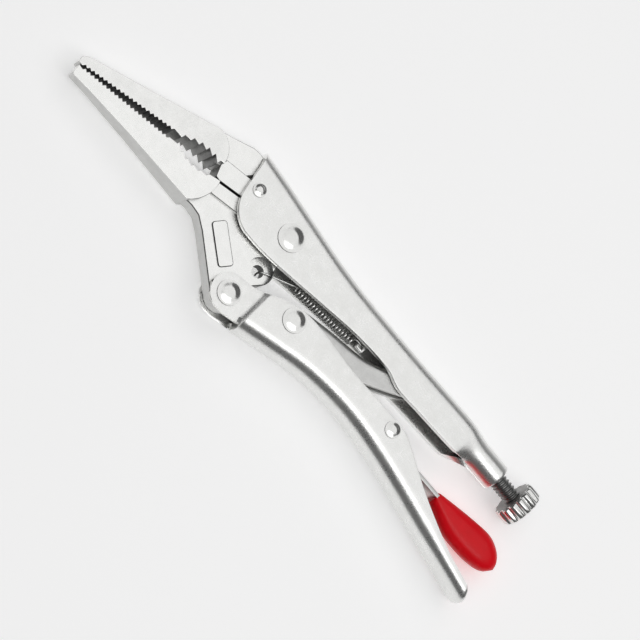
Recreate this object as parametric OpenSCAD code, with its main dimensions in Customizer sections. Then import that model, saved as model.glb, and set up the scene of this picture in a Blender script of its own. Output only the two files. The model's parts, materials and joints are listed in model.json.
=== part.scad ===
// Long-nose locking pliers with a wire cutter, lying on one side.
// X runs along the tool, jaws towards -X. Z is the thickness, and every pivot is parallel to it.
// Outlines are drawn from a point beside the main pivot, on the middle plane of the tool.

/* [Handles] */
// Width of both handles over their outside faces
handle_w = 10; // [9.8:0.1:10.2]
// Thickness of the handles' sheet steel
sheet_t = 1.5; // [1.3:0.1:1.5]
// Outside radius of the bend between a handle's web and its walls
bend_r = 2.5; // [1.5:0.1:3]
// Width over the two pressed-in ears at the front of the lower handle
ear_w = 8.2; // [8:0.1:8.4]
// Radius of the ears round the jaw rivet
ear_r = 5.1; // [4.8:0.1:5.4]

/* [Jaws] */
// Thickness of both jaws where they run inside the upper handle
tang_w = 6.6; // [6.2:0.1:6.7]
// Thickness of the moving jaw's plate between the ears
plate_w = 5.2; // [4.8:0.1:5.3]
// Half the thickness of the nose at its tip
tip_half = 2.2; // [1.8:0.1:2.6]
// Distance from one fine tooth to the next
fine_pitch = 1.25; // [1:0.05:1.6]
// Depth of a fine tooth
fine_depth = 0.65; // [0.4:0.05:0.9]
// Distance from one coarse tooth to the next
coarse_pitch = 2.1; // [1.8:0.1:2.5]
// Height of the blank pad above the moving jaw's plate
pad_h = 0.5; // [0.3:0.1:0.6]

/* [Rivets] */
// Shank radius of the main pivot rivet
main_r = 2.5; // [2:0.1:2.8]
// Head radius of the main pivot rivet
main_head_r = 3.75; // [3.4:0.05:4]
// Shank radius of the two rivets at the ends of the lower linkage
link_r = 2.1; // [1.8:0.1:2.3]
// Head radius of those two rivets
link_head_r = 3.3; // [3:0.05:3.6]
// Shank radius of the small rivets
small_r = 1.3; // [1:0.1:1.5]
// Radial running clearance of every rivet in its holes
rivet_gap = 0.04; // [0.02:0.01:0.08]
// Height of the rivet heads
head_h = 0.8; // [0.4:0.1:0.8]

/* [Screw and knob] */
// Outside radius of the adjusting screw's thread
screw_r = 2.38; // [2.2:0.02:2.4]
// Depth of the thread
thread_depth = 0.42; // [0.3:0.02:0.5]
// Distance from one thread crest to the next
thread_pitch = 1.06; // [0.8:0.02:1.2]
// Radius of the knob
knob_r = 5.9; // [5.9:0.1:6.3]
// Length of the knob
knob_l = 4.5; // [4:0.1:5]
// Number of flutes round the knob
flutes = 14; // [10:1:18]

/* [Linkage and spring] */
// Width over the toggle link's walls
link_w = 6.4; // [6:0.1:6.6]
// Thickness of the link's and the lever's sheet steel
link_t = 1.3; // [1:0.1:1.4]
// Thickness of the lever's vinyl grip
grip_w = 6.5; // [6.4:0.1:6.8]
// Outside radius of the return spring's coil
spring_r = 1.6; // [1.5:0.05:1.65]
// Wire diameter of the return spring
wire_d = 0.55; // [0.4:0.05:0.6]

/* [Hidden] */
$fn = 48;

// Centre of the tool's outline, which goes to X 0, Y 0; the knob rests on Z 0
middle = [15.97, -8.6];
// How far a cutting shape runs past the surface it cuts
past = 1;
// Radial clearance of the screw in its bore and of the strap in its grip
slip = 0.05;

// Pivots and the screw's axis
main_pivot = [0.3, 0];
jaw_rivet = [-0.4, -21.8];
link_pivot = [15.8, -13.7];
link_end = [53.5, 2.6];
lever_pivot = [53.3, -12.4];
tang_rivet = [-13.9, 1.7];
hook_hole = [1.2, -11.2];
screw_y = 2.85;

// Widths between the walls of the handles and between the ears
inner_w = handle_w - 2 * sheet_t;
ear_inner_w = plate_w + 0.2;

// Places along the tool: the bend behind the ears, the end of the upper handle's walls, its boss, the knob
joggle_x = 7.4;
walls_end = 72;
boss_x = 77;
boss_end = 83.2;
knob_x = 89.8;
boss_r = 4.1;
boss_chamfer = 0.8;

// The plain end of the adjusting screw and the round end of the link that it presses
tip_x = 57.4;
tip_l = 1.6;
tip_r = 1.5;
link_nose_r = 2.2;

// The hub of the moving jaw, and the shallow recess round its hook hole
hub_r = 6.2;
hook_r = 1.7;
recess_r = 3.7;
recess_z = 0.8;

// How far the fixed jaw's tang lies below the faces of its cutter block
tang_step = 0.5;

// Widths of the release lever and of the slot that divides its ears, and the radius of its ears
strap_w = 6;
strap_slot_w = 3.6;
strap_ear_r = 2.6;

// Heads of the two small rivets
tang_head_r = 1.9;
lever_head_r = 2.25;
small_head_share = 0.7;

// The spring tab's thickness and hole
tab_t = 1.2;
tab_hole = [33.5, -2.6];
tab_hole_r = 0.45;

function arc(c, r, from, to, n) = [for (i = [0:n]) let (a = from + (to - from) * i / n)
    [c.x + r * cos(a), c.y + r * sin(a)]];

// A smooth curve through a list of points, n short lines between each pair
function mix(a, b, c, d, t) = 0.5 * (2 * b + (c - a) * t + (2 * a - 5 * b + 4 * c - d) * t * t
    + (3 * b - a - 3 * c + d) * t * t * t);
function curve(p, n) = let (k = len(p) - 1) concat([for (i = [0:k - 1]) for (j = [0:n - 1])
    mix(p[max(i - 1, 0)], p[i], p[i + 1], p[min(i + 2, k)], j / n)], [p[k]]);

// The same points with Y the other way round
function flip(points) = [for (p = points) [p.x, -p.y]];

// Saw teeth between two points of a straight row, with a root point that share of a pitch after each crest
root_share = 0.42;
function fine_row(p, q, depth) = let (n = round(norm(q - p) / fine_pitch))
    [for (i = [0:n - 1]) for (k = [0, 1]) p + (q - p) * (i + k * root_share) / n + [0, k * depth]];

// A list of points in the opposite order
function backwards(points) = [for (i = [len(points) - 1:-1:0]) points[i]];

// Outlines of the upper handle
upper_back = curve([[-19, 10.9], [-10, 10.1], [0, 8.9], [20, 6.9], [45, 6.75], [65, 7.2], [72, 7.05]], 2);
upper_edge = curve([[72, -2.9], [55, -3.8], [47, -4.1], [41, -2.65], [30, -3.2], [20, -4.7], [0, -8],
    [-7.7, -8.5]], 3);
upper_front = arc([-7.7, 0.5], 9, 262, 180, 7);

// Outlines of the lower handle
lower_back = curve([[joggle_x, -26.4], [16.5, -23.8], [28, -20.9], [42, -19.7], [57, -21], [77, -24.5],
    [96, -27.9]], 2);
lower_end = [[97.6, -28.1], [98.6, -27], [98.2, -25.7], [96.8, -24.6]];
lower_edge = curve([[94, -23.8], [84, -21.5], [70, -16.4], [60, -11.6], [54, -10], [36, -10.5], [20, -9.7],
    [12, -11.4], [joggle_x, -13.9]], 3);

// Jaw outlines: the row of fine teeth runs from the tip to the hollow of coarse teeth
upper_row = [[-65.6, -12], [-38.6, -5.4]];
lower_row = [[-38.6, -7.3], [-65.6, -12.08]];

// Coarse teeth stand in the hollows, which are parts of circles; each tooth has a steep face this long in X
coarse_step = 0.25;
upper_hollow = [for (x = [-36.6:coarse_pitch:-26]) for (k = [0, 1])
    [x + k * coarse_step, -14 + sqrt(pow(13, 2) - pow(x + 28.5, 2)) - (1 - k) * 1.2]];
lower_hollow = [for (x = [-25.5:-coarse_pitch:-37]) for (k = [0, 1])
    [x - k * coarse_step, 4 - sqrt(pow(12, 2) - pow(x + 31, 2)) + (1 - k) * 0.7]];

// The line where the wire cutters meet, and the gap between them
cut_slope = 0.262;
function cut_y(x, drop) = -4.3 + (x + 22.4) * cut_slope - drop;
cut_gap = 0.5;

module lie() {
    translate([-middle.x, -middle.y, knob_r])
        children();
}

module slab(points, width) {
    translate([0, 0, -width / 2])
        linear_extrude(width)
            polygon(points);
}

module drill(at, r) {
    translate([at.x, at.y, -handle_w])
        cylinder(r = r, h = 2 * handle_w);
}

module along_x(x, y, r, length) {
    translate([x, y, 0])
        rotate([0, 90, 0])
            cylinder(r = r, h = length);
}

// A block with the handles' width whose lower, back outline has rounded edges
module bent_blank(back, rest) {
    all = concat(back, rest);
    n = len(all);
    side = handle_w / 2;
    quarter = concat([[bend_r, -side - past]],
        [for (a = [0:22.5:90]) [bend_r * (1 - sin(a)), bend_r * (1 - cos(a)) - side]]);
    layers = concat(quarter, [for (i = [len(quarter) - 1:-1:0]) [quarter[i].x, -quarter[i].y]]);
    points = [for (layer = layers) for (i = [0:n - 1])
        [all[i].x, all[i].y + (i < len(back) ? layer.x : 0), layer.y]];
    sides = [for (k = [0:len(layers) - 2]) for (i = [0:n - 1]) let (j = (i + 1) % n)
        [k * n + i, (k + 1) * n + i, (k + 1) * n + j, k * n + j]];
    ends = [[for (i = [0:n - 1]) i], [for (i = [n - 1:-1:0]) (len(layers) - 1) * n + i]];
    intersection() {
        polyhedron(points, concat(sides, ends));
        cube([300, 300, handle_w], center = true);
    }
}

// A shank with the same head at both ends; side is half the distance between the heads
module rivet(at, shank_r, head_r, span, rise) {
    side = span / 2;
    upper = [[shank_r, side], [head_r, side], [head_r, side + rise * 0.35], [head_r * 0.72, side + rise],
        [0, side + rise]];
    translate([at.x, at.y, 0])
        rotate_extrude()
            polygon(concat([for (p = backwards(upper)) [p.x, -p.y]], upper));
}

module wire(p, q) {
    run = q - p;
    translate(p)
        rotate([0, acos(run.z / norm(run)), atan2(run.y, run.x)])
            cylinder(d = wire_d, h = norm(run), $fn = 16);
}

// Bent sheet with a boss rolled round the adjusting screw, open below and at the front
module upper_handle() {
    inside = [for (p = upper_back) p - [0, sheet_t]];
    roof_y = inside[len(inside) - 1].y;
    color("silver")
        lie()
            difference() {
                union() {
                    difference() {
                        mirror([0, 1, 0])
                            bent_blank(flip(upper_back), flip(concat(upper_edge, upper_front)));
                        slab(concat([[-21, inside[0].y]], inside, [[walls_end + past, roof_y],
                            [walls_end + past, -12], [-21, -12]]), inner_w);
                    }
                    hull() {
                        translate([walls_end - 1, -2.9, sheet_t - handle_w / 2])
                            cube([1, 9.9, inner_w]);
                        translate([walls_end - 1, -1.9, -handle_w / 2])
                            cube([1, 6.5, handle_w]);
                        along_x(boss_x, screw_y, boss_r, 0.5);
                    }
                    along_x(boss_x, screw_y, boss_r, boss_end - boss_x - boss_chamfer);
                    translate([boss_end - boss_chamfer, screw_y, 0])
                        rotate([0, 90, 0])
                            cylinder(r1 = boss_r, r2 = boss_r - boss_chamfer, h = boss_chamfer);
                    spring_tab();
                }
                drill(main_pivot, main_r + rivet_gap);
                drill(tang_rivet, small_r + rivet_gap);
                along_x(70, screw_y, screw_r + slip, 20);
                translate([74, screw_y - 6, -0.4])
                    cube([12, 6, 0.8]);
            }
}

// Tab bent down from the web, which the rear hook of the return spring goes through
module spring_tab() {
    difference() {
        slab([[31, 5.6], [36, 5.6], [34.6, -3.6], [32.4, -3.6]], tab_t);
        drill(tab_hole, tab_hole_r);
    }
}

// The nose's sides lean in towards the tip and towards the outer edge
module nose(points, lengthwise, outward) {
    difference() {
        slab(points, handle_w);
        for (face = [0, 1])
            mirror([0, 0, face])
                translate([-66, -11.6, tip_half])
                    rotate([atan(outward), -atan(lengthwise), 0])
                        translate([-10, -20, 0])
                            cube([60, 50, 20]);
    }
}

module fixed_jaw() {
    rear = arc([-31.6, -2], 6.9, 86, 8, 8);
    color("gainsboro")
        lie()
            difference() {
                union() {
                    nose(concat([[-67, -11.9], [-67.3, -10.4], [-66.5, -9.3], [-65, -8.5], [-31.4, 4.9]],
                        rear, [[-25.2, -1.1]], backwards(upper_hollow),
                        backwards(fine_row(upper_row[0], upper_row[1], fine_depth))), 0.0955, -0.0973);
                    slab(concat([[-34, 3.6], [-24.4, 7.8], [-22.3, 8.8], [-20.8, 9.1], [-18.5, 9.1],
                        [-10, 8.45], [-5, 7.85]], arc(main_pivot, 6.6, 125, 181, 6),
                        [[-22.4, cut_y(-22.4, 0)], [-23.7, -4.2], [-25.2, -1.1], [-30, 0.5]]), tang_w);
                }
                for (face = [0, 1])
                    mirror([0, 0, face])
                        translate([0, 0, tang_w / 2 - tang_step])
                            linear_extrude(past)
                                polygon(concat([[-17.6, 10], [-17.1, 2.5], [-24.7, 0.9]],
                                    arc([-31.6, -2], 6.95, 26, 86, 6), [[-31, 6], [-24, 10]]));
                drill(tang_rivet, small_r + rivet_gap);
            }
}

module moving_jaw() {
    rear = arc([-30.7, -7.9], 9, -46, 20, 8);
    color("gainsboro")
        lie()
            difference() {
                union() {
                    nose(concat([[-65.9, -14.9], [-65.3, -15.15], [-60, -14.8], [-45, -14.4]], rear,
                        [[-23.3, -5.2]], lower_hollow, fine_row(lower_row[0], lower_row[1], -fine_depth),
                        [[-66.3, -12.4]]), 0.0526, 0.0973);
                    slab(concat([[-26, -14.3], [-22.5, -13.9], [-19.5, -14.2], [-16, -16.2]],
                        arc(jaw_rivet, 4.5, 237, 372, 8), [[2.5, -15.7]], arc(hook_hole, 3.5, -35, 45, 6),
                        arc(main_pivot, 6, -60, 0, 5), [[-6, cut_y(-6, cut_gap)],
                        [-22.4, cut_y(-22.4, cut_gap)], [-23.3, -5.2], [-27, -8]]), plate_w);
                    slab([[-22.4, cut_y(-22.4, cut_gap)], [-6, cut_y(-6, cut_gap)], [-6, -4.6], [-21.2, -8.1],
                        [-22.5, -8]], tang_w);
                    translate([main_pivot.x, main_pivot.y, -tang_w / 2])
                        cylinder(r = hub_r, h = tang_w);
                    blank_pad();
                }
                drill(main_pivot, main_r + rivet_gap);
                drill(jaw_rivet, link_r + rivet_gap);
                drill(hook_hole, hook_r);
                translate([hook_hole.x, hook_hole.y, recess_z])
                    cylinder(r = recess_r, h = handle_w);
            }
}

// A plain raised rectangle with rounded corners
module blank_pad() {
    translate([-10.2, -14.3, 0])
        rotate([0, 0, -34.5])
            for (side = [-1, 1])
                translate([0, 0, side * plate_w / 2])
                    linear_extrude(2 * pad_h, center = true)
                        union() {
                            square([10.2, 4.2], center = true);
                            square([11.6, 2.8], center = true);
                            for (x = [-5.1, 5.1], y = [-1.4, 1.4])
                                translate([x, y])
                                    circle(r = 0.7);
                        }
}

// Bent sheet, open towards the upper handle, with two ears pressed in to hug the moving jaw
module lower_handle() {
    inside = [for (p = lower_back) p + [0, sheet_t]];
    color("silver")
        lie()
            difference() {
                union() {
                    difference() {
                        bent_blank(lower_back, concat(lower_end, lower_edge));
                        slab(concat([[joggle_x - past, inside[0].y]], inside,
                            [[96.6, -26.2], [96.6, 0], [joggle_x - past, 0]]), inner_w);
                    }
                    difference() {
                        slab(concat([[joggle_x + 0.8, -25.4], [joggle_x + 0.8, -13.4], [5.2, -15],
                            [2.7, -16]], arc(jaw_rivet, ear_r, 105, 270, 12),
                            [[3, -26.2], [6, -25.4]]), ear_w);
                        slab([[-8, -30], [joggle_x, -30], [joggle_x, -10], [-8, -10]], ear_inner_w);
                        translate([joggle_x - 0.1, -30, -inner_w / 2])
                            cube([2.1, 20, inner_w]);
                    }
                }
                drill(jaw_rivet, link_r + rivet_gap);
                drill(link_pivot, link_r + rivet_gap);
                drill(lever_pivot, small_r + rivet_gap);
            }
}

// Bent sheet, open towards the lower handle; its round end bears on the screw
module toggle_link() {
    top = curve([[13.5, -9.7], [24, -7], [36, -4.6], [44, -0.6], [51.5, 4.2]], 3);
    low = curve([[55.2, 1], [49.4, -3.8], [39.4, -9.9], [32, -13.6], [22, -16.8], [17, -18.1]], 3);
    color("lightgray")
        lie()
            difference() {
                slab(concat(arc(link_pivot, 4.6, 260, 120, 8), top,
                    arc(link_end, link_nose_r, 100, -30, 8), low), link_w);
                slab(concat([for (p = top) p + [0.5, -link_t]], [[51.5, 1.5], [52.5, -2], [40, -14],
                    [30, -22], [9, -22], [9, -15], [12, -11.2]]), link_w - 2 * link_t);
                drill(link_pivot, link_r + rivet_gap);
            }
}

// Bent sheet: ears round its rivet, a nose under the link and a strap that carries the grip
module release_lever() {
    color("lightgray")
        lie()
            difference() {
                union() {
                    slab([[41.5, -11.4], [41.5, -10.6], [56.5, -10.6], [64, -13.4], [92, -13.2], [92, -14.1],
                        [64, -14.4], [57, -14.8], [50.5, -14.8], [49, -11.5]], strap_w);
                    slab(arc(lever_pivot, strap_ear_r, 180, 360, 10), strap_w);
                }
                slab([[48, -11.5], [56.3, -11.5], [63, -14.3], [60, -18], [46, -18]], strap_slot_w);
                drill(lever_pivot, small_r + rivet_gap);
            }
}

module lever_grip() {
    side = curve([[74.2, -12.2], [80, -10.9], [86.5, -9.6], [92, -9], [96, -10.2], [98.8, -12.6],
        [99.1, -14.6], [97.2, -16.9], [93, -18.2], [88, -18.6], [83, -18.4], [78, -16.9], [74.2, -15.6]], 2);
    centre = [87, -14];
    color("firebrick")
        lie()
            difference() {
                hull() {
                    slab(side, grip_w - 3);
                    slab([for (p = side) centre + (p - centre) * 0.86], grip_w);
                }
                slab([[70, -13.25 + slip], [92 + slip, -13.2 + slip], [92 + slip, -14.1 - slip],
                    [70, -14.35 - slip]], strap_w + 2 * slip);
            }
}

module adjusting_screw() {
    crests = floor((knob_x - tip_x - tip_l) / thread_pitch);
    start = tip_x + tip_l;
    root = screw_r - thread_depth;
    color("dimgray")
        lie()
            translate([start, screw_y, 0])
                rotate([0, 90, 0])
                    rotate_extrude()
                        polygon(concat([[0, 0], [root, 0]],
                            [for (i = [0:crests - 1]) for (k = [0, 1]) [root + k * thread_depth,
                                (i + 0.1 + k * 0.5) * thread_pitch]],
                            [[root, knob_x - start], [root, knob_x - start + knob_l - 0.5],
                            [0, knob_x - start + knob_l - 0.5]]));
}

module adjusting_knob() {
    color("whitesmoke")
        lie()
            difference() {
                union() {
                    along_x(knob_x + 0.5, screw_y, knob_r, knob_l - 1);
                    along_x(knob_x, screw_y, knob_r - 0.5, knob_l);
                }
                along_x(knob_x - past, screw_y, screw_r - thread_depth, knob_l + 0.5);
                for (i = [0:flutes - 1])
                    translate([0, screw_y, 0])
                        rotate([i * 360 / flutes, 0, 0])
                            along_x(knob_x - past, knob_r + 0.55, 0.9, knob_l + 2 * past);
            }
}

// The end of the screw, which slides with it and bears on the toggle link
module screw_tip() {
    color("dimgray")
        lie()
            along_x(tip_x, screw_y, tip_r, tip_l);
}

module return_spring() {
    front = [11.4, -6.2];
    back = [30.4, -3.55];
    run = back - front;
    color("gray")
        lie() {
            translate([front.x, front.y, 0])
                rotate([0, 90, atan2(run.y, run.x)])
                    difference() {
                        cylinder(r = spring_r, h = norm(run));
                        translate([0, 0, -past])
                            cylinder(r = spring_r - wire_d, h = norm(run) + 2 * past);
                    }
            wire([11.6, -5, 0.3], [10.2, -6.3, 1.1]);
            wire([10.3, -6.2, 1.15], [2.3, -10.3, 1.15]);
            wire([2.5, -10.3, 1.25], [2, -10.9, -1]);
            wire([30.2, -2.4, 0], [32.1, -2.6, 0.95]);
            wire([31.8, -2.65, 0.85], [33.7, -2.6, 0.95]);
            wire([33.5, -2.6, 1.1], [33.5, -2.6, -1]);
        }
}

module main_pivot_rivet() {
    color("whitesmoke")
        lie()
            rivet(main_pivot, main_r, main_head_r, handle_w, head_h);
}

module fixed_jaw_rivet() {
    color("whitesmoke")
        lie()
            rivet(tang_rivet, small_r, tang_head_r, handle_w, head_h * small_head_share);
}

module jaw_handle_rivet() {
    color("whitesmoke")
        lie()
            rivet(jaw_rivet, link_r, link_head_r, ear_w, head_h);
}

module link_rivet() {
    color("whitesmoke")
        lie()
            rivet(link_pivot, link_r, link_head_r, handle_w, head_h);
}

module lever_rivet() {
    color("whitesmoke")
        lie()
            rivet(lever_pivot, small_r, lever_head_r, handle_w, head_h * small_head_share);
}

upper_handle();
fixed_jaw();
moving_jaw();
lower_handle();
toggle_link();
release_lever();
lever_grip();
adjusting_screw();
adjusting_knob();
screw_tip();
return_spring();
main_pivot_rivet();
fixed_jaw_rivet();
jaw_handle_rivet();
link_rivet();
lever_rivet();
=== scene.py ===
# %% [markdown]
# # Locking pliers
#
# This lesson dresses the jointed model of a pair of long-nose locking pliers.
# The mechanical model gives each part's place and every joint, so it is loaded first
# and everything that follows is put where it says.

# %% Load the mechanical model
import json
import math

import bpy
from mathutils import Matrix, Vector


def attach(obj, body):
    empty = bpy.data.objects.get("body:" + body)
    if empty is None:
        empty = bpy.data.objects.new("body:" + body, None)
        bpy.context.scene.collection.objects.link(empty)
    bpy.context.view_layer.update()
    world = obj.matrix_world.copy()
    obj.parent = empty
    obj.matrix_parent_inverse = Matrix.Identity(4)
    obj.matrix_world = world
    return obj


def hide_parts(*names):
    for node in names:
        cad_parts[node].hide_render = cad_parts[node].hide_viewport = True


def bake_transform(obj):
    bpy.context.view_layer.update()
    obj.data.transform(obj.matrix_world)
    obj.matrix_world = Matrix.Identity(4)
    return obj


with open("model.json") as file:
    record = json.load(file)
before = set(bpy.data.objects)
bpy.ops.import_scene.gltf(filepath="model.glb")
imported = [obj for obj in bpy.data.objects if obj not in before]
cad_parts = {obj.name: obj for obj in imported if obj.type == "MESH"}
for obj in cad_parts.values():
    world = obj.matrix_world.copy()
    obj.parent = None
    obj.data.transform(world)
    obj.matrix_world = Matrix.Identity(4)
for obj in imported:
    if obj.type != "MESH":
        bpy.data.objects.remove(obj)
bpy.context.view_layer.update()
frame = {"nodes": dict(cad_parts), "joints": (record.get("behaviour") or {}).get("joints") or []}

# %% [markdown]
# ## Where things are
#
# The tool lies on its side, so each outline can be drawn flat and given a thickness.
# All outlines below are in millimetres from a point beside the main pivot, on the middle
# plane of the tool. One small function turns such a place into the model's metres.

# %% A place on the drawing
pivots = {j["name"]: Vector(j["pos_m"]) for j in frame["joints"] if j.get("pos_m")}
drawing_origin = pivots["moving_jaw_hinge"] - Vector((0.0003, 0, 0))


def at(x, y, z=0.0):
    """The place x, y on the drawing, z above the middle plane, all in millimetres."""
    return drawing_origin + Vector((x, y, z)) * 0.001


main_pivot = Vector((0.3, 0.0))
jaw_rivet = Vector((-0.4, -21.8))
link_rivet = Vector((15.8, -13.7))
lever_rivet = Vector((53.3, -12.4))
tang_rivet = Vector((-13.9, 1.7))
hook_hole = (1.2, -11.2)
screw_y = 2.85
print("Main pivot at", [round(v * 1000, 2) for v in at(*main_pivot)], "mm")

# %% [markdown]
# ## The camera
#
# The tool is seen from above and from the jaw side of the lower handle, about 25 degrees
# off square, through a long lens. The camera's own axes are written as three directions,
# which is the plainest way to give a tilt and a roll together.

# %% Camera
camera = bpy.data.objects.new("camera", bpy.data.cameras.new("camera"))
bpy.context.scene.collection.objects.link(camera)
camera.data.lens = 140.6
camera.data.sensor_width = 36
camera.data.clip_start = 0.05
camera.data.clip_end = 20
look_right = Vector((0.63234, 0.66087, 0.40422))
look_up = Vector((-0.7536, 0.64568, 0.12326))
look_back = look_right.cross(look_up)
camera.matrix_world = (
    Matrix.Translation(at(-91.53, -246.47, 569.0))
    @ Matrix((look_right, look_up, look_back)).transposed().to_4x4()
)
bpy.context.scene.camera = camera
print("Camera", round((camera.location - at(20, -8)).length * 1000), "mm from the tool")

# %% [markdown]
# ## Floor and light
#
# Bright steel shows its surroundings more than its own colour, so the room matters as much
# as the material. A pale floor lights the tool from below, a wide soft panel overhead gives
# the even sheen on flat faces, and a dim room puts the dark lines along the rounded edges.

# %% Floor
bpy.ops.object.select_all(action="DESELECT")
bpy.ops.mesh.primitive_plane_add(size=4)
floor = bpy.context.object
floor.name = "floor"
floor_paint = bpy.data.materials.new("pale floor")
floor_paint.use_nodes = True
floor_shader = floor_paint.node_tree.nodes["Principled BSDF"]
floor_shader.inputs["Base Color"].default_value = (0.9, 0.9, 0.9, 1)
floor_shader.inputs["Roughness"].default_value = 0.8
floor_shader.inputs["Emission Color"].default_value = (1, 1, 1, 1)
floor_shader.inputs["Emission Strength"].default_value = 0.36
floor.data.materials.append(floor_paint)

# %% Soft panels
def panel(name, place, aim, width, height, brightness):
    """A soft rectangular light; brightness is what a mirror would show of it."""
    light = bpy.data.lights.new(name, "AREA")
    light.shape = "RECTANGLE"
    light.size = width
    light.size_y = height
    light.energy = brightness * math.pi * width * height
    lamp = bpy.data.objects.new(name, light)
    bpy.context.scene.collection.objects.link(lamp)
    lamp.location = place
    lamp.rotation_euler = (Vector(aim) - Vector(place)).to_track_quat("-Z", "Y").to_euler()
    return lamp


panel("overhead panel", (0.1, 0.2, 0.9), (0, 0, 0), 1.5, 1.2, 0.86)
panel("bright strip", (0.1, -0.28, 0.84), (0, 0, 0), 1.1, 0.26, 1.5)
panel("back panel", (0.3, 1.3, 0.25), (0, 0, 0.05), 1.6, 0.6, 0.3)
room = bpy.data.worlds.new("room")
bpy.context.scene.world = room
room.use_nodes = True
room.node_tree.nodes["Background"].inputs["Color"].default_value = (1, 1, 1, 1)
room.node_tree.nodes["Background"].inputs["Strength"].default_value = 0.1
bpy.context.scene.view_settings.view_transform = "Standard"

# %% [markdown]
# ## Finishes
#
# Every steel piece has the same kind of surface at a different strength: a fine sparkle from
# the plating, soft clouds where it was polished by hand, and a little roughness in the light.
# That is one node group, placed in each material with its own values.

# %% The plated surface, as a node group
plating = bpy.data.node_groups.new("plated surface", "ShaderNodeTree")
for name, kind, default in (
    ("Light Tone", "NodeSocketColor", (0.8, 0.8, 0.79, 1)),
    ("Dark Tone", "NodeSocketColor", (0.6, 0.6, 0.59, 1)),
    ("Grain Size", "NodeSocketFloat", 0.0002),
    ("Cloud Size", "NodeSocketFloat", 0.003),
    ("Smoothest", "NodeSocketFloat", 0.2),
    ("Roughest", "NodeSocketFloat", 0.35),
):
    plating.interface.new_socket(name, in_out="INPUT", socket_type=kind).default_value = default
for name, kind in (
    ("Color", "NodeSocketColor"),
    ("Roughness", "NodeSocketFloat"),
    ("Height", "NodeSocketFloat"),
):
    plating.interface.new_socket(name, in_out="OUTPUT", socket_type=kind)


def node(tree, kind, **values):
    """A node of that kind, with its settings and input values."""
    made = tree.nodes.new(kind)
    for name, value in values.items():
        if name in made.inputs:
            made.inputs[name].default_value = value
        else:
            setattr(made, name, value)
    return made


entry = node(plating, "NodeGroupInput")
leave = node(plating, "NodeGroupOutput")
place = node(plating, "ShaderNodeTexCoord")
grain_scale = node(plating, "ShaderNodeMath", operation="DIVIDE")
grain_scale.inputs[0].default_value = 1
cloud_scale = node(plating, "ShaderNodeMath", operation="DIVIDE")
cloud_scale.inputs[0].default_value = 1
grain = node(plating, "ShaderNodeTexNoise", Detail=2.0, Roughness=0.6)
cloud = node(plating, "ShaderNodeTexNoise", Detail=3.0, Roughness=0.55)
speckle = node(plating, "ShaderNodeMapRange")
speckle.inputs["From Min"].default_value = 0.35
speckle.inputs["From Max"].default_value = 0.65
both = node(plating, "ShaderNodeMath", operation="MULTIPLY_ADD")
both.inputs[1].default_value = 0.45
tone = node(plating, "ShaderNodeMix", data_type="RGBA")
rough = node(plating, "ShaderNodeMapRange")
join = plating.links.new
join(entry.outputs["Grain Size"], grain_scale.inputs[1])
join(entry.outputs["Cloud Size"], cloud_scale.inputs[1])
join(grain_scale.outputs[0], grain.inputs["Scale"])
join(cloud_scale.outputs[0], cloud.inputs["Scale"])
join(place.outputs["Object"], grain.inputs["Vector"])
join(place.outputs["Object"], cloud.inputs["Vector"])
join(grain.outputs["Fac"], speckle.inputs["Value"])
join(speckle.outputs[0], both.inputs[0])
join(cloud.outputs["Fac"], both.inputs[2])
join(both.outputs[0], tone.inputs["Factor"])
join(entry.outputs["Light Tone"], tone.inputs["A"])
join(entry.outputs["Dark Tone"], tone.inputs["B"])
join(tone.outputs["Result"], leave.inputs["Color"])
join(both.outputs[0], rough.inputs["Value"])
join(entry.outputs["Smoothest"], rough.inputs["To Min"])
join(entry.outputs["Roughest"], rough.inputs["To Max"])
join(rough.outputs[0], leave.inputs["Roughness"])
join(speckle.outputs[0], leave.inputs["Height"])
print("Group", plating.name, "has", len(plating.nodes), "nodes")


# %% Steel in its several finishes
def steel(name, light, dark, smoothest, roughest, grain_size=0.0002, cloud_size=0.003, bump=0.1):
    """A plated or bare steel with its own tone, gloss and grain."""
    material = bpy.data.materials.new(name)
    material.use_nodes = True
    tree = material.node_tree
    shader = tree.nodes["Principled BSDF"]
    shader.inputs["Metallic"].default_value = 1.0
    surface = tree.nodes.new("ShaderNodeGroup")
    surface.node_tree = plating
    surface.inputs["Light Tone"].default_value = (light, light, light * 0.985, 1)
    surface.inputs["Dark Tone"].default_value = (dark, dark, dark * 0.98, 1)
    surface.inputs["Grain Size"].default_value = grain_size
    surface.inputs["Cloud Size"].default_value = cloud_size
    surface.inputs["Smoothest"].default_value = smoothest
    surface.inputs["Roughest"].default_value = roughest
    relief = node(tree, "ShaderNodeBump", Strength=bump, Distance=0.00005)
    tree.links.new(surface.outputs["Color"], shader.inputs["Base Color"])
    tree.links.new(surface.outputs["Roughness"], shader.inputs["Roughness"])
    tree.links.new(surface.outputs["Height"], relief.inputs["Height"])
    tree.links.new(relief.outputs["Normal"], shader.inputs["Normal"])
    return material


handle_steel = steel("handle steel", 0.92, 0.82, 0.2, 0.34, grain_size=0.00035, bump=0.2)
jaw_steel = steel("jaw steel", 0.96, 0.86, 0.18, 0.3)
link_steel = steel("link steel", 0.74, 0.58, 0.25, 0.4)
rivet_steel = steel("rivet steel", 0.85, 0.75, 0.1, 0.2, bump=0.05)
screw_steel = steel("screw steel", 0.3, 0.2, 0.25, 0.4)
# Painted shade: the jaws' lower flanks get this darker steel for the shade on that side.
flank_shade_steel = steel("flank shade steel", 0.74, 0.6, 0.35, 0.5)
# Painted shade on the coarse teeth; on the knob it is the duller real tone of the turned ends.
tooth_shade_and_turned_steel = steel("tooth shade and turned steel", 0.5, 0.28, 0.35, 0.55)
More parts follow.
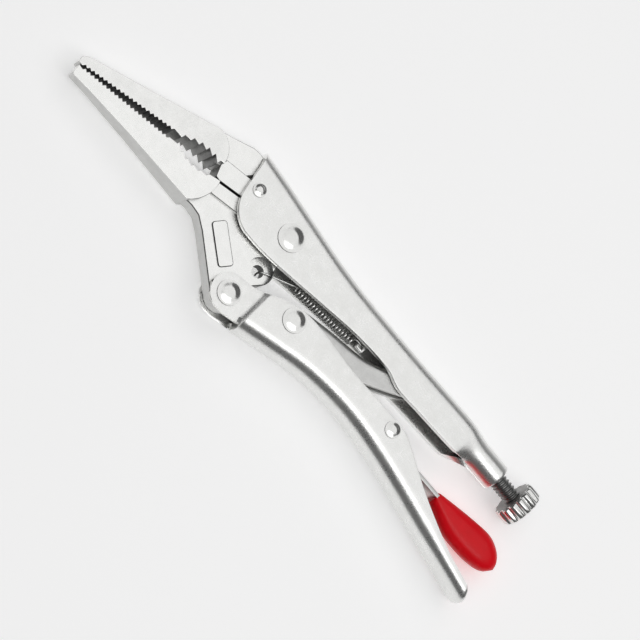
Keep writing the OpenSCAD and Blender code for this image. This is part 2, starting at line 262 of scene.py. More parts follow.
# Painted shade: a dark steel for teeth, cutters, softened edges, recesses and rivet rims.
painted_shade_steel = steel("painted shade steel", 0.2, 0.1, 0.4, 0.6)
knob_steel = steel("knob steel", 0.85, 0.72, 0.1, 0.22, bump=0.05)
spring_steel = steel("spring steel", 0.97, 0.88, 0.2, 0.35, bump=0.05)

# %% [markdown]
# The lever's grip is dipped vinyl: one even red, glossy, with a skin that ripples a little.

# %% Dipped vinyl
vinyl = bpy.data.materials.new("grip vinyl")
vinyl.use_nodes = True
skin_tree = vinyl.node_tree
vinyl_shader = skin_tree.nodes["Principled BSDF"]
vinyl_shader.inputs["Roughness"].default_value = 0.34
vinyl_shader.inputs["Specular IOR Level"].default_value = 0.22
vinyl_shader.inputs["Coat Weight"].default_value = 0.06
vinyl_shader.inputs["Coat Roughness"].default_value = 0.12
vinyl_place = node(skin_tree, "ShaderNodeTexCoord")
vinyl_ripple = node(skin_tree, "ShaderNodeTexNoise", Scale=450.0, Detail=2.0)
vinyl_tone = node(skin_tree, "ShaderNodeMix", data_type="RGBA")
vinyl_tone.inputs["A"].default_value = (0.95, 0.002, 0.012, 1)
vinyl_tone.inputs["B"].default_value = (0.84, 0.001, 0.008, 1)
vinyl_relief = node(skin_tree, "ShaderNodeBump", Strength=0.12, Distance=0.0003)
skin_tree.links.new(vinyl_place.outputs["Object"], vinyl_ripple.inputs["Vector"])
skin_tree.links.new(vinyl_ripple.outputs["Fac"], vinyl_tone.inputs["Factor"])
skin_tree.links.new(vinyl_tone.outputs["Result"], vinyl_shader.inputs["Base Color"])
skin_tree.links.new(vinyl_ripple.outputs["Fac"], vinyl_relief.inputs["Height"])
skin_tree.links.new(vinyl_relief.outputs["Normal"], vinyl_shader.inputs["Normal"])
print("Materials:", len(bpy.data.materials))

# %% [markdown]
# ## Tools for making pieces
#
# Each helper does one thing that a modeller does by hand: pick a piece up, lay a sheet of
# quads through rows of places, sew its seams, run a modifier and apply it, and hand the
# finished piece to its body.

# %% Picking up, modifying and finishing a piece
def pick_up(piece):
    """Makes one piece the only selected object, and the active one."""
    bpy.ops.object.select_all(action="DESELECT")
    piece.select_set(True)
    bpy.context.view_layer.objects.active = piece


def modify(piece, kind, **settings):
    """Adds a modifier with those settings and applies it."""
    pick_up(piece)
    bpy.ops.object.modifier_add(type=kind)
    modifier = piece.modifiers[-1]
    for name, value in settings.items():
        setattr(modifier, name, value)
    bpy.ops.object.modifier_apply(modifier=modifier.name)


def sew(piece, gap=0.001, cap=False, flat=None):
    """Joins points closer than gap mm, closes open ends and turns the faces outwards."""
    pick_up(piece)
    bpy.ops.object.mode_set(mode="EDIT")
    bpy.ops.mesh.select_all(action="SELECT")
    bpy.ops.mesh.remove_doubles(threshold=gap / 1000)
    bpy.ops.mesh.dissolve_degenerate(threshold=1e-7)
    if flat:
        bpy.ops.mesh.select_all(action="SELECT")
        bpy.ops.mesh.dissolve_limited(angle_limit=math.radians(flat))
    if cap:
        bpy.ops.mesh.select_all(action="SELECT")
        bpy.ops.mesh.fill_holes(sides=0)
    bpy.ops.mesh.select_all(action="SELECT")
    bpy.ops.mesh.normals_make_consistent(inside=False)
    bpy.ops.object.mode_set(mode="OBJECT")


def finish(piece, body, material, slot, *nodes, crease=35):
    """Shades the piece, gives it its finish and puts it in place of its plain nodes."""
    pick_up(piece)
    bpy.ops.object.shade_smooth_by_angle(angle=math.radians(crease))
    piece.data.materials.clear()
    piece.data.materials.append(material)
    if body:
        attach(piece, body)
    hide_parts(*nodes)
    print(piece.name, "has", sum(len(p.vertices) - 2 for p in piece.data.polygons), "triangles")
    return piece


def on_drawing(face):
    """A face's centre as a place on the drawing, in millimetres."""
    return (face.center - drawing_origin) * 1000


def darken(piece, material, wanted):
    """Gives the faces for which wanted(face) is true a second material; most uses paint shade with it."""
    piece.data.materials.append(material)
    for face in piece.data.polygons:
        if wanted(face):
            face.material_index = len(piece.data.materials) - 1


def even_shading(piece):
    """Lets broad flat faces shade flat right up to their softened edges."""
    modify(piece, "WEIGHTED_NORMAL", keep_sharp=True, weight=100)


# %% Deleting, cutting and joining
def delete_faces(piece, wanted):
    """Deletes the faces for which wanted(face) is true."""
    pick_up(piece)
    bpy.ops.object.mode_set(mode="EDIT")
    bpy.ops.mesh.select_mode(type="FACE")
    bpy.ops.mesh.select_all(action="DESELECT")
    bpy.ops.object.mode_set(mode="OBJECT")
    for face in piece.data.polygons:
        face.select = wanted(face)
    bpy.ops.object.mode_set(mode="EDIT")
    bpy.ops.mesh.delete(type="FACE")
    bpy.ops.mesh.select_mode(type="VERT")
    bpy.ops.object.mode_set(mode="OBJECT")


def bore(piece, centre, radius, low, high):
    """Cuts a round hole, parallel to Z, between two heights."""
    bpy.ops.object.select_all(action="DESELECT")
    bpy.ops.mesh.primitive_cylinder_add(vertices=48, radius=radius / 1000, depth=(high - low) / 1000,
                                        location=at(*centre, (low + high) / 2))
    cutter = bpy.context.object
    modify(piece, "BOOLEAN", operation="DIFFERENCE", solver="EXACT", object=cutter)
    bpy.data.objects.remove(cutter)


def joined(name, *parts):
    """Several closed shapes as one piece."""
    bpy.ops.object.select_all(action="DESELECT")
    for part in parts:
        part.select_set(True)
    bpy.context.view_layer.objects.active = parts[0]
    bpy.ops.object.join()
    parts[0].name = name
    return parts[0]


# %% Laying a sheet through rows of places
def skin(name, rows):
    """A grid with a corner at each place of each row."""
    bpy.ops.object.select_all(action="DESELECT")
    bpy.ops.mesh.primitive_grid_add(x_subdivisions=len(rows[0]) - 1, y_subdivisions=len(rows) - 1)
    piece = bpy.context.object
    piece.name = name
    for corner, place in zip(piece.data.vertices, [p for row in rows for p in row], strict=True):
        corner.co = place
    return piece


def smooth_curve(points, steps):
    """A smooth line through the points, with so many short steps between each pair."""
    points = [Vector(p) for p in points]
    ends = [points[0], *points, points[-1]]
    line = []
    for a, b, c, d in zip(ends, ends[1:], ends[2:], ends[3:]):
        for i in range(steps):
            t = i / steps
            line.append(0.5 * (2 * b + (c - a) * t + (2 * a - 5 * b + 4 * c - d) * t * t
                               + (3 * b - a - 3 * c + d) * t ** 3))
    return line + [points[-1]]


def height_at(line, x):
    """Where a line that runs along X passes x."""
    for p, q in zip(line, line[1:]):
        if min(p.x, q.x) <= x <= max(p.x, q.x):
            return p.y + (q.y - p.y) * (x - p.x) / ((q.x - p.x) or 1)
    return (line[0] if abs(x - line[0].x) < abs(x - line[-1].x) else line[-1]).y


def ease(t):
    """0 before 0, 1 after 1, with a smooth slope between."""
    t = min(max(t, 0.0), 1.0)
    return t * t * (3 - 2 * t)


# %% [markdown]
# A flat piece starts as a disc with as many corners as its outline. The corners are moved to
# the outline, the face is extruded through the thickness, and the edges are broken with a
# small bevel. The thickness may change over the piece, as it does on a drafted forging.

# %% A plate from its outline
def towards(degrees):
    """The direction on the drawing at that angle from +X, as a vector of length 1."""
    a = math.radians(degrees)
    return Vector((math.cos(a), math.sin(a)))


def arc(centre, radius, start, end, steps):
    """Places along part of a circle."""
    angles = [math.radians(start + (end - start) * i / steps) for i in range(steps + 1)]
    return [Vector((centre[0] + radius * math.cos(a), centre[1] + radius * math.sin(a))) for a in angles]


def plate(name, outline, half, soft=0.15, segments=2):
    """A plate with that outline; half is half its thickness, or a function that gives it at x, y."""
    outline = [Vector(p) for p in outline]
    half_at = half if callable(half) else lambda x, y: half
    bpy.ops.object.select_all(action="DESELECT")
    bpy.ops.mesh.primitive_circle_add(vertices=len(outline), fill_type="NGON")
    piece = bpy.context.object
    piece.name = name
    for corner, p in zip(piece.data.vertices, outline, strict=True):
        corner.co = at(p.x, p.y, half_at(p.x, p.y))
    bpy.ops.object.mode_set(mode="EDIT")
    bpy.ops.mesh.select_all(action="SELECT")
    apart = 0.05
    bpy.ops.mesh.extrude_region_move(TRANSFORM_OT_translate={"value": (0, 0, -apart)})
    bpy.ops.object.mode_set(mode="OBJECT")
    middle_z = at(0, 0).z
    for corner in piece.data.vertices:
        if corner.co.z < middle_z - apart / 2:
            corner.co.z = 2 * middle_z - (corner.co.z + apart)
    sew(piece)
    if soft:
        modify(piece, "BEVEL", width=soft / 1000, segments=segments, limit_method="ANGLE",
               angle_limit=math.radians(25))
    return piece


# %% [markdown]
# ## The upper handle
#
# The handle is one strip of 1.5 mm steel bent into a channel and rolled round the adjusting
# screw at its rear end. A solid block could be hollowed out, but the bend and the change from
# channel to tube are easier to get smooth when the outer skin is laid section by section and
# then given its thickness. Each section runs from one lower edge, over the back, to the other.

# %% One section of a bent channel
handle_half = 5.0


def channel_section(edge, back, half=handle_half, bend=2.5, wall=8, turn=6, web=6):
    """Places (point on the drawing, height) from the near edge over the back to the far edge."""
    up = (back - edge).normalized()
    reach = min(bend, (back - edge).length * 0.8)
    foot = back - up * reach
    near = [(edge.lerp(foot, i / wall), half) for i in range(wall)]
    for i in range(turn + 1):
        a = math.radians(90 * i / turn)
        near.append((foot + up * reach * math.sin(a), half - bend + bend * math.cos(a)))
    across = [(back, (half - bend) * (1 - 2 * i / web)) for i in range(1, web)]
    return near + across + [(p, -z) for p, z in reversed(near)]


def tube_section(x, radius, count, seam=6.0):
    """The same number of places round the screw, from one side of the seam to the other."""
    places = []
    for i in range(count):
        a = math.radians(-90 + seam + (360 - 2 * seam) * i / (count - 1))
        places.append((Vector((x, screw_y + radius * math.sin(a))), radius * math.cos(a)))
    return places


# %% Upper handle
upper_bend = 3.6
roll_from, roll_length = 68, 9.2
boss_radius, lip_from = 4.1, 82.4
upper_back = smooth_curve([(-19, 10.9), (-10, 10.1), (0, 8.9), (20, 6.9), (45, 6.75), (65, 7.2), (72, 7.05),
                           (84, 6.95)], 6)
upper_edge = smooth_curve([(-8.95, -8.41), (0, -8), (20, -4.7), (30, -3.2), (41, -2.65), (47, -4.1),
                           (55, -3.8), (72, -2.9), (84, -1.2)], 6)
sections = []
for i, edge in enumerate(arc((-7.7, 0.5), 9, 191.5, 262, 15)[:-1]):
    x = -19 + 10 * i / 15
    sections.append(channel_section(edge, Vector((x, height_at(upper_back, x))), bend=upper_bend, turn=10))
x = -8.95
while x < 83.25:
    edge, back = Vector((x, height_at(upper_edge, x))), Vector((x, height_at(upper_back, x)))
    row = channel_section(edge, back, bend=upper_bend, turn=10)
    roll = ease((x - roll_from) / roll_length)
    if roll > 0:
        lip = 0.35 * (max(0.0, x - lip_from) / 0.8) ** 2
        tube = tube_section(x, boss_radius - lip, len(row))
        row = [(p.lerp(q, roll), z + (w - z) * roll) for (p, z), (q, w) in zip(row, tube)]
    sections.append(row)
    x += 1.5 if x < roll_from else 0.4 if x > 81.8 else 0.6
upper_handle = skin("upper_handle_bent_steel", [[at(p.x, p.y, z) for p, z in row] for row in sections])
sew(upper_handle)
modify(upper_handle, "SOLIDIFY", thickness=0.0015, offset=-1.0, use_even_offset=True)
modify(upper_handle, "BEVEL", width=0.00035, segments=3, limit_method="ANGLE", angle_limit=math.radians(50))
tab = plate("spring tab", [(31, 6), (36, 6), (34.6, -3.6), (32.4, -3.6)], 0.6)
bore(tab, (33.5, -2.6), 0.45, -2, 2)
joined("upper_handle_bent_steel", upper_handle, tab)
finish(upper_handle, "frame", handle_steel, "handle_steel", "upper_handle")

# %% [markdown]
# ## The lower handle
#
# This is a channel too, open towards the upper handle. Its rear end is closed by turning the
# back up round the end, and its front ends in two ears that are pressed inwards to hug the
# moving jaw. The same sections are used; in front of the bend only the walls are kept.

# %% Lower handle
lower_bend = 4.2
ear_radius = 5.1
lower_back = smooth_curve([(7.4, -26.4), (16.5, -23.8), (28, -20.9), (42, -19.7), (57, -21), (77, -24.5),
                           (96, -27.9)], 6)
lower_edge = smooth_curve([(7.4, -13.9), (12, -11.4), (20, -9.7), (36, -10.5), (54, -10), (60, -11.6),
                           (70, -16.4), (84, -21.5), (94, -23.8)], 6)
rear_end = smooth_curve([(94.5, -27.65), (96, -27.9), (97.6, -27.95), (98.5, -27.1), (98.3, -25.9),
                         (97.4, -25.0), (96.2, -24.45)], 3)
ear_top = smooth_curve([(7.4, -13.9), (5.2, -15), (2.7, -16), (0.2, -16.6)], 3)
ear_low = smooth_curve([(7.4, -24.9), (6, -25.5), (3.4, -26.3), (1.4, -26.8)], 3)


def ear_press(p):
    """How far from the middle plane the wall's outer face is: the ears are pressed in."""
    return 4.1 + 0.9 * ease((p.x - 5.3) / 2.2)


sections = []
steps = 12
for i in range(steps + 1):
    t = i / steps
    high = jaw_rivet + ear_radius * towards(183 - 85 * t)
    low = jaw_rivet + ear_radius * towards(187 + 95 * t)
    sections.append((high, low))
for i in range(1, len(ear_top) - 1):
    sections.append((ear_top[len(ear_top) - 1 - i], ear_low[len(ear_low) - 1 - i]))
ear_count = len(sections)
x = 7.4
while x < 94:
    sections.append((Vector((x, height_at(lower_edge, x))), Vector((x, height_at(lower_back, x)))))
    x += 0.5 if x < 9 else 1.4
for i, back in enumerate(rear_end):
    share = i / (len(rear_end) - 1)
    sections.append((Vector((94 + 0.8 * share, -23.8 - 0.2 * share)), back))
rows = []
for i, (edge, back) in enumerate(sections):
    row = channel_section(edge, back, bend=lower_bend if i >= ear_count else 0.01, turn=10)
    rows.append([at(p.x, p.y, z * ear_press(p) / handle_half) for p, z in row])
lower_handle = skin("lower_handle_bent_steel", rows)
web_from = at(7.35, 0).x
middle_z = at(0, 0).z
delete_faces(lower_handle, lambda face: face.center.x < web_from and abs(face.center.z - middle_z) < 0.0040)
sew(lower_handle)
modify(lower_handle, "SOLIDIFY", thickness=0.0015, offset=-1.0, use_even_offset=True)
modify(lower_handle, "BEVEL", width=0.00035, segments=3, limit_method="ANGLE", angle_limit=math.radians(50))
finish(lower_handle, "lower_handle", handle_steel, "handle_steel", "lower_handle")
# Painted shade: the softened edges of the ears get the dark steel, for the shade along their outline.
darken(lower_handle, painted_shade_steel, lambda face: on_drawing(face).x < 4.5 and 0.1 < abs(face.normal.z) < 0.93)

# %% [markdown]
# ## The jaws
#
# Each jaw is a forging: a nose whose sides lean in towards the tip, and a thinner plate that
# runs back between the handle's walls. The nose carries a row of fine teeth and a hollow with
# coarse ones. Teeth are part of the outline, so they are true geometry on both faces.

# %% Rows of teeth
fine_pitch, root_share = 1.25, 0.42
coarse_pitch, coarse_count = 2.1, 6


def fine_teeth(start, end, depth):
    """Saw teeth along a straight row."""
    start, end = Vector(start), Vector(end)
    count = round((end - start).length / fine_pitch)
    return [start.lerp(end, (i + k * root_share) / count) + Vector((0, k * depth))
            for i in range(count) for k in (0, 1)]


def cut_line(x, drop):
    """The line where the wire cutters meet."""
    return -4.3 + (x + 22.4) * 0.262 - drop


upper_teeth = fine_teeth((-65.6, -12), (-38.6, -5.4), 0.65)
lower_teeth = fine_teeth((-38.6, -7.3), (-65.6, -12.08), -0.65)
upper_hollow = [Vector((x + k * 0.25, -14 + math.sqrt(169 - (x + 28.5) ** 2) - (1 - k) * 1.2))
                for x in [-36.6 + coarse_pitch * i for i in range(coarse_count)] for k in (0, 1)]
lower_hollow = [Vector((x - k * 0.25, 4 - math.sqrt(144 - (x + 31) ** 2) + (1 - k) * 0.7))
                for x in [-25.5 - coarse_pitch * i for i in range(coarse_count)] for k in (0, 1)]
print(len(upper_teeth) // 2, "fine teeth and", len(upper_hollow) // 2, "coarse ones on the fixed jaw")

# %% The faces that get painted shade
def fine_face(face):
    """True for the faces of the fine teeth and of the wire cutters."""
    p = on_drawing(face)
    in_row = -65.6 < p.x < -38.6 and -13.2 < p.y < -4.6
    in_cutter = -23.5 < p.x < -6.5 and abs(p.y - cut_line(p.x, 0.25)) < 0.6
    return abs(face.normal.z) < 0.5 and (in_row or in_cutter)


def coarse_face(face):
    """True for the faces of the coarse teeth."""
    p = on_drawing(face)
    return abs(face.normal.z) < 0.5 and -38.6 <= p.x < -23.5 and -8.6 < p.y < -0.6


def flank_face(face):
    """True for the forged flanks under the jaws, which face down the drawing and get painted shade."""
    return face.normal.y < -0.3 and abs(face.normal.z) <= 0.3


def shaded_edge_face(face):
    """True for the softened edges behind the noses, which get painted shade."""
    return on_drawing(face).x > -27 and 0.15 < abs(face.normal.z) < 0.93


def recess_face(face):
    """True inside the hook hole and for the wall of the recess round it."""
    p = on_drawing(face)
    return abs(face.normal.z) < 0.5 and math.dist((p.x, p.y), hook_hole) < 3.6 and p.z > -2.7


# %% Fixed jaw
block_half = 3.3
jaw_painted_shade = ((flank_shade_steel, flank_face), (painted_shade_steel, shaded_edge_face), (tooth_shade_and_turned_steel, coarse_face),
                (painted_shade_steel, fine_face))
nose = plate("nose", [(-67, -11.9), (-67.3, -10.4), (-66.5, -9.3), (-65, -8.5), (-31.4, 4.9),
                      *arc((-31.6, -2), 6.9, 86, 8, 14), (-25.2, -1.1), *reversed(upper_hollow),
                      *reversed(upper_teeth)],
             lambda x, y: min(5, 2.2 + 0.0955 * (x + 66) - 0.0973 * (y + 11.6)), soft=0.1)
tang = plate("tang", [(-34, 3.6), (-24.4, 7.8), (-22.3, 8.8), (-20.8, 9.1), (-17.6, 9.03), (-16, 6), (-20, 0),
                      (-25.8, -1.8), (-30, 0.5)], 2.8)
cutter_block = plate("cutter block", [(-17.6, 9.0), (-10, 8.4), (-5, 7.8), *arc(main_pivot, 6.6, 125, 181, 8),
                                      (-22.4, cut_line(-22.4, 0)), (-23.7, -4.2), (-25.0, -1.2), (-24.7, 0.9),
                                      (-17.1, 2.5)], block_half)
fixed_jaw = joined("fixed_jaw_forging", nose, tang, cutter_block)
finish(fixed_jaw, "frame", jaw_steel, "jaw_steel", "fixed_jaw", crease=22)
even_shading(fixed_jaw)
# Painted shade: teeth, cutters, softened edges and lower flanks get darker steels.
for dark_steel, wanted in jaw_painted_shade:
    darken(fixed_jaw, dark_steel, wanted)

# %% Moving jaw
nose = plate("nose", [(-65.9, -14.9), (-65.3, -15.15), (-60, -14.8), (-45, -14.4),
                      *arc((-30.7, -7.9), 9, -46, 20, 14), (-23.3, -5.2), *lower_hollow, *lower_teeth,
                      (-66.3, -12.4)],
             lambda x, y: min(5, 2.2 + 0.0526 * (x + 66) + 0.0973 * (y + 11.6)), soft=0.1)
side_plate = plate("side plate", [(-26, -14.3), (-22.5, -13.9), (-19.5, -14.2), (-16, -16.2),
                                  *arc(jaw_rivet, 4.5, 237, 372, 14), (2.5, -15.7),
                                  *arc(hook_hole, 3.7, -35, 45, 8), *arc(main_pivot, 6, -60, 0, 6),
                                  (-6, cut_line(-6, 0.55)), (-22.3, cut_line(-22.3, 0.55)), (-23.4, -5.3),
                                  (-27, -8)], 2.6, soft=0.25)
bore(side_plate, hook_hole, 1.7, -6, 6)
bore(side_plate, hook_hole, 3.5, 0.8, 6)
cutter_block = plate("cutter block", [(-22.4, cut_line(-22.4, 0.5)), (-6, cut_line(-6, 0.5)), (-6, -4.6),
                                      (-21.2, -8.1), (-22.5, -8)], block_half)
hub = plate("hub", arc(main_pivot, 6.2, 0, 354, 59), block_half)
tilt = Matrix.Rotation(math.radians(-34.5), 2)
corners = [((4.9, 1.2), 0), ((-4.9, 1.2), 90), ((-4.9, -1.2), 180), ((4.9, -1.2), 270)]
pad_centre = Vector((-10.2, -14.3))
pad_outline = [pad_centre + tilt @ p for c, a in corners for p in arc(c, 0.9, a, a + 90, 6)]
pad = plate("blank pad", pad_outline, 3.1, soft=0.42, segments=3)
moving_jaw = joined("moving_jaw_forging", nose, side_plate, cutter_block, hub, pad)
finish(moving_jaw, "moving_jaw", jaw_steel, "jaw_steel", "moving_jaw", crease=22)
even_shading(moving_jaw)
# The recess round the hook hole gets painted shade too.
for dark_steel, wanted in (*jaw_painted_shade, (painted_shade_steel, recess_face)):
    darken(moving_jaw, dark_steel, wanted)

# %% [markdown]
# ## Toggle link and release lever
#
# The link is a small channel, open downwards, with ears round its rivet and a round nose that
# bears on the screw. It is laid in sections like the handles. The lever's outline is already
# right in the mechanical model, so a copy of it is sewn together and its edges are broken.

# %% Toggle link
link_ear_radius = 4.6
link_top = smooth_curve([(12, -11.2), (13.5, -9.7), (24, -7), (36, -4.6), (44, -0.6), (51.5, 4.2)], 6)
link_low = smooth_curve([(16, -18.25), (22, -16.8), (32, -13.6), (39.4, -9.9), (49.4, -3.8), (54.6, 0.4)], 6)
sections = []
for i in range(10):
    t = i / 10
    low = link_rivet + link_ear_radius * towards(192 + 66 * t)
    high = link_rivet + link_ear_radius * towards(188 - 54 * t)
    sections.append((low, high))
ear_count = len(sections)
for i in range(30):
    x = 12.4 + 39 * i / 30
    low_x = max(x, 15.4 + i * 0.3) if x < 24 else x
    sections.append((Vector((low_x, height_at(link_low, low_x))), Vector((x, height_at(link_top, x)))))
nose_arc = arc((53.5, 2.6), 2.2, 130, -40, 12)
for i, p in enumerate(nose_arc):
    x = 51.4 + 1.2 * i / 12
    sections.append((Vector((x, height_at(link_low, x) + 0.3)), p))
rows = []
for i, (edge, back) in enumerate(sections):
    row = channel_section(edge, back, half=3.2, bend=1.8 if i >= ear_count else 0.01)
    rows.append([at(p.x, p.y, z) for p, z in row])
toggle_link = skin("toggle_link_bent_steel", rows)
link_web_from = at(12.3, 0).x
delete_faces(toggle_link,
             lambda face: face.center.x < link_web_from and abs(face.center.z - middle_z) < 0.0028)
sew(toggle_link)
modify(toggle_link, "SOLIDIFY", thickness=0.0013, offset=-1.0, use_even_offset=True)
modify(toggle_link, "BEVEL", width=0.0003, segments=3, limit_method="ANGLE", angle_limit=math.radians(50))
finish(toggle_link, "toggle_link", link_steel, "link_steel", "toggle_link")

# %% Release lever
release_lever = bpy.data.objects.new("release_lever_strap", frame["nodes"]["release_lever"].data.copy())
bpy.context.scene.collection.objects.link(release_lever)
pick_up(release_lever)
bpy.ops.mesh.customdata_custom_splitnormals_clear()
sew(release_lever, gap=0.002, flat=1.5)
modify(release_lever, "BEVEL", width=0.00015, segments=2, limit_method="ANGLE", angle_limit=math.radians(28))
finish(release_lever, "release_lever", link_steel, "link_steel", "release_lever")

# %% [markdown]
# ## Rivets
#
# A rivet head is a low dome pressed tight against the sheet, with its upright rim painted dark as
# shade. Each rivet is turned: half its outline is spun once round its own axis.

# %% Turning a rivet
def turned(name, centre, outline, steps=64):
    """Spins half an outline, given as (radius, height) pairs, round an axis through centre."""
    bpy.ops.object.select_all(action="DESELECT")
    bpy.ops.mesh.primitive_circle_add(vertices=len(outline), fill_type="NOTHING")
    piece = bpy.context.object
    piece.name = name
    for corner, (radius, height) in zip(piece.data.vertices, outline, strict=True):
        corner.co = at(centre.x + radius, centre.y, height)
    bpy.ops.object.mode_set(mode="EDIT")
    bpy.ops.mesh.select_all(action="SELECT")
    bpy.ops.mesh.spin(steps=steps, angle=2 * math.pi, center=at(*centre), axis=(0, 0, 1))
    bpy.ops.object.mode_set(mode="OBJECT")
    sew(piece)
    return piece


def rivet(name, centre, shank, head, half, rise):
    """A shank with a domed head at each end."""
    dome = [(head * i / 16, half + rise * (1 - 0.72 * ease((i / 16 - 0.25) / 0.75))) for i in range(17)]
    top = [*dome, (head, half), (shank, half)]
    return turned(name, centre, [*top, *[(r, -z) for r, z in reversed(top)]])


for name, node_name, body, centre, shank, head, half, rise in (
    ("main_pivot_domed_rivet", "main_pivot_rivet", "frame", main_pivot, 2.5, 3.75, 5.0, 0.85),
    ("fixed_jaw_domed_rivet", "fixed_jaw_rivet", "frame", tang_rivet, 1.3, 1.9, 5.0, 0.6),
    ("jaw_handle_domed_rivet", "jaw_handle_rivet", "lower_handle", jaw_rivet, 2.1, 3.3, 4.1, 0.85),
    ("link_domed_rivet", "link_rivet", "lower_handle", link_rivet, 2.1, 3.3, 5.0, 0.8),
    ("lever_domed_rivet", "lever_rivet", "lower_handle", lever_rivet, 1.3, 2.25, 5.0, 0.6),
):
    piece = rivet(name, centre, shank, head, half, rise)
    finish(piece, body, rivet_steel, "rivet_steel", node_name, crease=40)
    # Painted shade: the upright rims get the dark steel.
    darken(piece, painted_shade_steel, lambda face: abs(face.normal.z) < 0.2)

# %% [markdown]
# ## The adjusting screw
#
# A thread is a helix, so its height depends on both the angle and the place along the screw.
# A sheet rolled into a rod, with each corner lifted by the thread's own profile, gives a true
# helical thread as one closed skin.

# %% Threaded rod
def around_x(x, radius, degrees):
    """A place round the screw's axis."""
    a = math.radians(degrees)
    return at(x, screw_y + radius * math.sin(a), radius * math.cos(a))


pitch, crest, depth = 1.06, 2.38, 0.42
rows = []
x = 57.4
while x < 93.8:
    cut = ease((x - 59) / 1.0) * ease((90.2 - x) / 0.4)
    row = []
    for i in range(49):
        turn_share = (x / pitch - i / 48) % 1.0
        ridge = ease(1.25 - abs(turn_share - 0.5) * 3.4)
        core = (crest - depth) * min(1, 0.75 + (x - 57.4) / 2)
        row.append(around_x(x, core + depth * ridge * cut, i * 7.5))
    rows.append(row)
    x += pitch / 9
screw = skin("adjusting_screw_thread", rows)
sew(screw, cap=True)
finish(screw, "screw", screw_steel, "screw_steel", "adjusting_screw", crease=50)

# %% [markdown]
# ## The knob
#
# The knob is a thick disc with rounded flutes for the fingers and softened rims. Its flat ends
# are duller than its rim.

# %% Fluted knob
knob_corners = 168


def knob_ring(x, radius, flute):
    """One ring of the knob; flute says how deep the fourteen flutes are."""
    ring = []
    for i in range(knob_corners + 1):
        degrees = i * 360 / knob_corners
        ring.append(around_x(x, radius - flute * abs(math.cos(math.radians(7 * degrees))) ** 4, degrees))
    return ring


knob_profile = ((89.8, 1.9, 0), (89.8, 4.2, 0), (89.8, 5.2, 0.25), (89.95, 5.6, 0.5), (90.3, 5.85, 0.6),
                (92.0, 5.9, 0.6), (93.8, 5.85, 0.6), (94.15, 5.6, 0.5), (94.3, 5.2, 0.25), (94.3, 4.2, 0),
                (94.1, 3.6, 0), (94.1, 1.9, 0))
knob = skin("adjusting_knob_fluted", [knob_ring(*ring) for ring in knob_profile])
sew(knob, cap=True)
finish(knob, "screw", knob_steel, "knob_steel", "adjusting_knob", crease=40)
darken(knob, tooth_shade_and_turned_steel, lambda face: abs(face.normal.x) > 0.9)

# %% [markdown]
# ## The return spring
#
# One wire: a hook through the moving jaw, a long straight leg, the coil, and a hook through a
# tab of the upper handle. A curve with a round section follows the wire's middle. The spring
# stretches between the jaw and the handle.

# %% Coil and hooks
coil_front, coil_back = Vector((11.4, -6.2)), Vector((30.4, -3.55))
along = (coil_back - coil_front).normalized()
aside = Vector((-along.y, along.x))
front_wire = [(1.7, -11.6, -1.2), (1.5, -11.2, -0.4), (1.6, -10.9, 0.6), (2.2, -10.5, 1.15), (4.0, -9.5, 1.2),
              (7.0, -7.95, 1.2), (9.6, -6.6, 1.25)]
rear_wire = [(31.4, -2.5, 1.0), (32.6, -2.6, 1.1), (33.3, -2.6, 0.9), (33.5, -2.6, 0.2), (33.4, -2.6, -0.8)]
coil_radius = 1.32
wire_path = [at(*p) for p in front_wire]
turns, per_turn = 19, 16
for i in range(turns * per_turn + 1):
    a = math.radians(60 - 360 * i / per_turn)
    p = coil_front.lerp(coil_back, i / (turns * per_turn)) + aside * coil_radius * math.cos(a)
    wire_path.append(at(p.x, p.y, coil_radius * math.sin(a)))
wire_path += [at(*p) for p in rear_wire]
bpy.ops.object.select_all(action="DESELECT")
wire_curve = bpy.data.curves.new("spring wire", "CURVE")
wire_curve.dimensions = "3D"
wire_line = wire_curve.splines.new("POLY")
wire_line.points.add(len(wire_path) - 1)
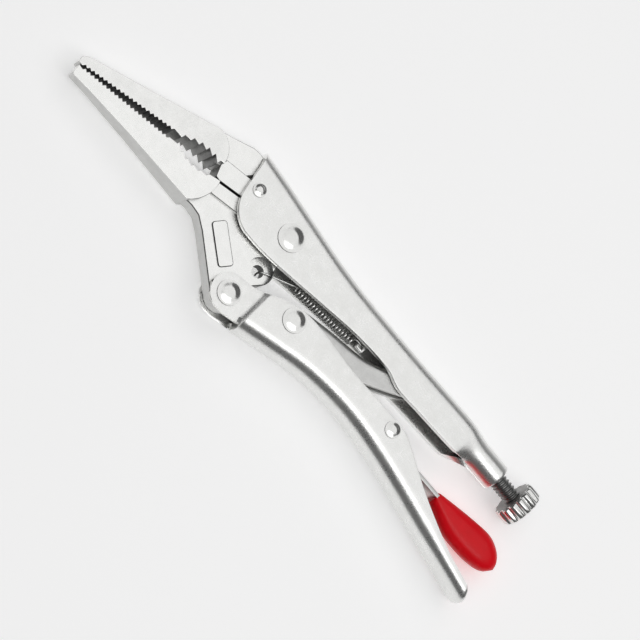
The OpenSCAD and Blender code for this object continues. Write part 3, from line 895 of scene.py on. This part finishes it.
for point, place in zip(wire_line.points, wire_path):
    point.co = (*place, 1)
wire_curve.bevel_depth = 0.00027
wire_curve.bevel_resolution = 2
wire_curve.use_fill_caps = True
spring = bpy.data.objects.new("return_spring_wire", wire_curve)
bpy.context.scene.collection.objects.link(spring)
pick_up(spring)
bpy.ops.object.convert(target="MESH")
spring = bpy.context.object
finish(spring, None, spring_steel, "spring_steel", "return_spring", crease=60)
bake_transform(spring)

# %% [markdown]
# ## The release lever's grip
#
# The lever's strap is dipped in vinyl, which leaves a smooth drop-shaped grip.

# %% Grip
grip_top = smooth_curve([(74.2, -12.3), (80, -10.9), (86.5, -9.6), (92, -9.0), (96, -10.2), (98.3, -12.2),
                         (99.1, -14.2)], 5)
grip_low = smooth_curve([(74.2, -15.5), (78, -16.9), (83, -18.3), (88, -18.6), (93, -18.2), (97, -17),
                         (99.1, -14.4)], 5)
rows = []
for i in range(31):
    x = 74.2 + 24.88 * (i / 30 if i < 24 else 0.8 + 0.2 * math.sin(math.pi / 2 * (i - 24) / 6))
    top, low = height_at(grip_top, x), height_at(grip_low, x)
    round_end = math.sqrt(max(0.01, 1 - max(0.0, (x - 92) / 7.1) ** 2))
    half = 3.25 * round_end * (0.93 + 0.07 * ease((x - 74.2) / 1.5))
    row = []
    for k in range(33):
        a = 2 * math.pi * k / 32
        c, s = math.cos(a), math.sin(a)
        across, up = math.copysign(abs(c) ** 0.8, c), math.copysign(abs(s) ** 0.8, s)
        row.append(at(x, (top + low) / 2 + (top - low) / 2 * up, half * across))
    rows.append(row)
grip = skin("lever_grip_vinyl", rows)
sew(grip, cap=True)
modify(grip, "BEVEL", width=0.0005, segments=3, limit_method="ANGLE", angle_limit=math.radians(50))
finish(grip, "release_lever", vinyl, "grip_vinyl", "lever_grip")

# %% [markdown]
# ## The screw tip
#
# The screw's tip keeps its plain round shape, so it only needs its finish.

# %% Finish for the screw tip
frame["nodes"]["screw_tip"].data.materials.clear()
frame["nodes"]["screw_tip"].data.materials.append(screw_steel)
